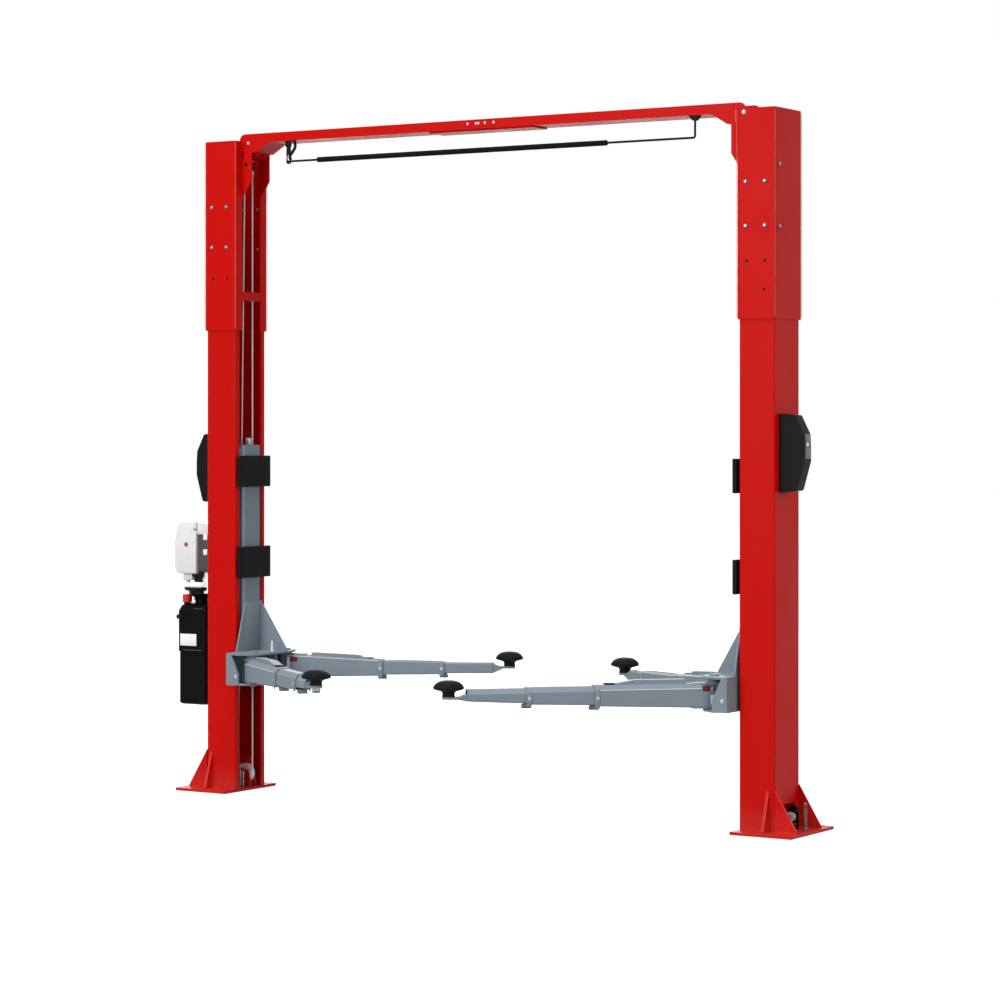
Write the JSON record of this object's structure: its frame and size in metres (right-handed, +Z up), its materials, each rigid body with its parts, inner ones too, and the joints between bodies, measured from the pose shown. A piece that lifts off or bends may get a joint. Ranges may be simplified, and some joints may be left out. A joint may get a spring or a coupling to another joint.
{
  "type": "two post car lift",
  "caption": "Overhead beam car lift with folded steel columns, a carriage on each and telescopic swing arms with rubber pads.",
  "frame": {"origin": "underside of the base plate under the middle of the column that carries the power unit", "axes": "+X towards the other column, +Y away from the front, +Z up"},
  "size_m": [3.991, 1.9756, 3.688],
  "materials": {
    "base_left": "gloss powder coat",
    "column_left": "gloss powder coat",
    "extension_left": "gloss powder coat",
    "beam_left": "gloss powder coat",
    "lock_cover_left": "moulded cover",
    "base_right": "gloss powder coat",
    "column_right": "gloss powder coat",
    "extension_right": "gloss powder coat",
    "beam_right": "gloss powder coat",
    "lock_cover_right": "moulded cover",
    "equalising_cable": "wire rope",
    "beam_splice": "gloss powder coat",
    "bar_hanger": "black paint",
    "bar_bracket": "black paint",
    "unit_plate": "gloss powder coat",
    "pump_block": "cast block",
    "motor": "dark grey paint",
    "motor_cover": "moulded cover",
    "tank": "blow moulded tank",
    "filler_cap": "moulded cap",
    "carriage_left": "grey blue paint",
    "arm_housing_left": "grey blue paint",
    "door_bumper_lower_left": "moulded rubber",
    "door_bumper_upper_left": "moulded rubber",
    "carriage_right": "grey blue paint",
    "arm_housing_right": "grey blue paint",
    "door_bumper_lower_right": "moulded rubber",
    "door_bumper_upper_right": "moulded rubber",
    "bottom_sheave_left": "light grey",
    "top_sheave_down_left": "light grey",
    "top_sheave_up_left": "light grey",
    "bottom_sheave_right": "light grey",
    "top_sheave_down_right": "light grey",
    "top_sheave_up_right": "light grey",
    "arm_outer_left_front": "grey blue paint",
    "arm_middle_left_front": "grey blue paint",
    "arm_inner_left_front": "grey blue paint",
    "pad_screw_left_front": "turned screw",
    "lift_pad_left_front": "moulded rubber",
    "arm_outer_left_rear": "grey blue paint",
    "arm_middle_left_rear": "grey blue paint",
    "arm_inner_left_rear": "grey blue paint",
    "pad_screw_left_rear": "turned screw",
    "lift_pad_left_rear": "moulded rubber",
    "arm_outer_right_front": "grey blue paint",
    "arm_middle_right_front": "grey blue paint",
    "arm_inner_right_front": "grey blue paint",
    "pad_screw_right_front": "turned screw",
    "lift_pad_right_front": "moulded rubber",
    "arm_outer_right_rear": "grey blue paint",
    "arm_middle_right_rear": "grey blue paint",
    "arm_inner_right_rear": "grey blue paint",
    "pad_screw_right_rear": "turned screw",
    "lift_pad_right_rear": "moulded rubber",
    "shutoff_rod": "black paint",
    "shutoff_foam": "foam sleeve"
  },
  "bodies": {
    "structure": {"base_left": "base_left", "column_left": "column_left", "extension_left": "extension_left", "beam_left": "beam_left", "lock_cover_left": "lock_cover_left", "base_right": "base_right", "column_right": "column_right", "extension_right": "extension_right", "beam_right": "beam_right", "lock_cover_right": "lock_cover_right", "equalising_cable": "equalising_cable", "beam_splice": "beam_splice", "bar_hanger": "bar_hanger", "bar_bracket": "bar_bracket", "unit_plate": "unit_plate", "pump_block": "pump_block", "motor": "motor", "motor_cover": "motor_cover", "tank": "tank", "filler_cap": "filler_cap"},
    "carriage_left": {"carriage_left": "carriage_left", "arm_housing_left": "arm_housing_left", "door_bumper_lower_left": "door_bumper_lower_left", "door_bumper_upper_left": "door_bumper_upper_left"},
    "carriage_right": {"carriage_right": "carriage_right", "arm_housing_right": "arm_housing_right", "door_bumper_lower_right": "door_bumper_lower_right", "door_bumper_upper_right": "door_bumper_upper_right"},
    "bottom_sheave_left": {"bottom_sheave_left": "bottom_sheave_left"},
    "top_sheave_down_left": {"top_sheave_down_left": "top_sheave_down_left"},
    "top_sheave_up_left": {"top_sheave_up_left": "top_sheave_up_left"},
    "bottom_sheave_right": {"bottom_sheave_right": "bottom_sheave_right"},
    "top_sheave_down_right": {"top_sheave_down_right": "top_sheave_down_right"},
    "top_sheave_up_right": {"top_sheave_up_right": "top_sheave_up_right"},
    "arm_outer_left_front": {"arm_outer_left_front": "arm_outer_left_front"},
    "arm_middle_left_front": {"arm_middle_left_front": "arm_middle_left_front"},
    "arm_inner_left_front": {"arm_inner_left_front": "arm_inner_left_front"},
    "pad_left_front": {"pad_screw_left_front": "pad_screw_left_front", "lift_pad_left_front": "lift_pad_left_front"},
    "arm_outer_left_rear": {"arm_outer_left_rear": "arm_outer_left_rear"},
    "arm_middle_left_rear": {"arm_middle_left_rear": "arm_middle_left_rear"},
    "arm_inner_left_rear": {"arm_inner_left_rear": "arm_inner_left_rear"},
    "pad_left_rear": {"pad_screw_left_rear": "pad_screw_left_rear", "lift_pad_left_rear": "lift_pad_left_rear"},
    "arm_outer_right_front": {"arm_outer_right_front": "arm_outer_right_front"},
    "arm_middle_right_front": {"arm_middle_right_front": "arm_middle_right_front"},
    "arm_inner_right_front": {"arm_inner_right_front": "arm_inner_right_front"},
    "pad_right_front": {"pad_screw_right_front": "pad_screw_right_front", "lift_pad_right_front": "lift_pad_right_front"},
    "arm_outer_right_rear": {"arm_outer_right_rear": "arm_outer_right_rear"},
    "arm_middle_right_rear": {"arm_middle_right_rear": "arm_middle_right_rear"},
    "arm_inner_right_rear": {"arm_inner_right_rear": "arm_inner_right_rear"},
    "pad_right_rear": {"pad_screw_right_rear": "pad_screw_right_rear", "lift_pad_right_rear": "lift_pad_right_rear"},
    "shutoff_bar": {"shutoff_rod": "shutoff_rod", "shutoff_foam": "shutoff_foam"}
  },
  "joints": [
    {"name": "left_lift", "type": "slide", "parent": "structure", "child": "carriage_left", "axis": [0, 0, 1], "range_m": [-0.53, 0.78]},
    {"name": "right_lift", "type": "slide", "parent": "structure", "child": "carriage_right", "axis": [0, 0, 1], "range_m": [-0.53, 0.78]},
    {"name": "bottom_sheave_left_spin", "type": "hinge", "parent": "structure", "child": "bottom_sheave_left", "pos_m": [0.038, 0.035, 0.09], "axis": [0, 1, 0], "range_deg": [-900, 900]},
    {"name": "top_sheave_down_left_spin", "type": "hinge", "parent": "structure", "child": "top_sheave_down_left", "pos_m": [0.138, 0.035, 3.6005], "axis": [0, 1, 0], "range_deg": [-900, 900]},
    {"name": "top_sheave_up_left_spin", "type": "hinge", "parent": "structure", "child": "top_sheave_up_left", "pos_m": [0.138, -0.035, 3.6005], "axis": [0, 1, 0], "range_deg": [-900, 900]},
    {"name": "bottom_sheave_right_spin", "type": "hinge", "parent": "structure", "child": "bottom_sheave_right", "pos_m": [3.338, -0.035, 0.09], "axis": [0, -1, 0], "range_deg": [-900, 900]},
    {"name": "top_sheave_down_right_spin", "type": "hinge", "parent": "structure", "child": "top_sheave_down_right", "pos_m": [3.238, -0.035, 3.6005], "axis": [0, -1, 0], "range_deg": [-900, 900]},
    {"name": "top_sheave_up_right_spin", "type": "hinge", "parent": "structure", "child": "top_sheave_up_right", "pos_m": [3.238, 0.035, 3.6005], "axis": [0, -1, 0], "range_deg": [-900, 900]},
    {"name": "left_front_swing", "type": "hinge", "parent": "carriage_left", "child": "arm_outer_left_front", "pos_m": [0.233, -0.155, 0.7], "axis": [0, 0, -1], "range_deg": [-37.5, 34.5]},
    {"name": "left_front_middle_slide", "type": "slide", "parent": "arm_outer_left_front", "child": "arm_middle_left_front", "axis": [0.7934, -0.6088, 0], "range_m": [-0.3, 0]},
    {"name": "left_front_inner_slide", "type": "slide", "parent": "arm_middle_left_front", "child": "arm_inner_left_front", "axis": [0.7934, -0.6088, 0], "range_m": [-0.115, 0.15]},
    {"name": "left_front_pad_turn", "type": "hinge", "parent": "arm_inner_left_front", "child": "pad_left_front", "pos_m": [1.20248, -0.89891, 0.7], "axis": [0, 0, 1], "continuous": true},
    {"name": "left_rear_swing", "type": "hinge", "parent": "carriage_left", "child": "arm_outer_left_rear", "pos_m": [0.233, 0.155, 0.7], "axis": [0, 0, 1], "range_deg": [-26.5, 45.5]},
    {"name": "left_rear_middle_slide", "type": "slide", "parent": "arm_outer_left_rear", "child": "arm_middle_left_rear", "axis": [0.8949, 0.4462, 0], "range_m": [-0.3, 0]},
    {"name": "left_rear_inner_slide", "type": "slide", "parent": "arm_middle_left_rear", "child": "arm_inner_left_rear", "axis": [0.8949, 0.4462, 0], "range_m": [-0.236, 0.029]},
    {"name": "left_rear_pad_turn", "type": "hinge", "parent": "arm_inner_left_rear", "child": "pad_left_rear", "pos_m": [1.37225, 0.72301, 0.7], "axis": [0, 0, 1], "continuous": true},
    {"name": "right_front_swing", "type": "hinge", "parent": "carriage_right", "child": "arm_outer_right_front", "pos_m": [3.143, -0.155, 0.7], "axis": [0, 0, 1], "range_deg": [-43.4, 28.6]},
    {"name": "right_front_middle_slide", "type": "slide", "parent": "arm_outer_right_front", "child": "arm_middle_right_front", "axis": [-0.7266, -0.6871, 0], "range_m": [-0.3, 0]},
    {"name": "right_front_inner_slide", "type": "slide", "parent": "arm_middle_right_front", "child": "arm_inner_right_front", "axis": [-0.7266, -0.6871, 0], "range_m": [-0.262, 0.008]},
    {"name": "right_front_pad_turn", "type": "hinge", "parent": "arm_inner_right_front", "child": "pad_right_front", "pos_m": [2.15123, -1.09287, 0.7], "axis": [0, 0, 1], "continuous": true},
    {"name": "right_rear_swing", "type": "hinge", "parent": "carriage_right", "child": "arm_outer_right_rear", "pos_m": [3.143, 0.155, 0.7], "axis": [0, 0, -1], "range_deg": [-27.6, 44.4]},
    {"name": "right_rear_middle_slide", "type": "slide", "parent": "arm_outer_right_rear", "child": "arm_middle_right_rear", "axis": [-0.8862, 0.4633, 0], "range_m": [-0.3, 0]},
    {"name": "right_rear_inner_slide", "type": "slide", "parent": "arm_middle_right_rear", "child": "arm_inner_right_rear", "axis": [-0.8862, 0.4633, 0], "range_m": [-0.09, 0.175]},
    {"name": "right_rear_pad_turn", "type": "hinge", "parent": "arm_inner_right_rear", "child": "pad_right_rear", "pos_m": [2.14602, 0.67621, 0.7], "axis": [0, 0, 1], "continuous": true},
    {"name": "shutoff_bar_pivot", "type": "hinge", "parent": "structure", "child": "shutoff_bar", "pos_m": [2.982, -0.06, 3.622], "axis": [0, 1, 0], "range_deg": [0, 0.45]}
  ],
  "couplings": [
    {"joint": "right_lift", "follows": "left_lift", "ratio": 1},
    {"joint": "bottom_sheave_left_spin", "follows": "left_lift", "rad_per_m": 20},
    {"joint": "top_sheave_down_left_spin", "follows": "left_lift", "rad_per_m": -20},
    {"joint": "top_sheave_up_left_spin", "follows": "left_lift", "rad_per_m": 20},
    {"joint": "bottom_sheave_right_spin", "follows": "left_lift", "rad_per_m": 20},
    {"joint": "top_sheave_down_right_spin", "follows": "left_lift", "rad_per_m": -20},
    {"joint": "top_sheave_up_right_spin", "follows": "left_lift", "rad_per_m": 20}
  ]
}
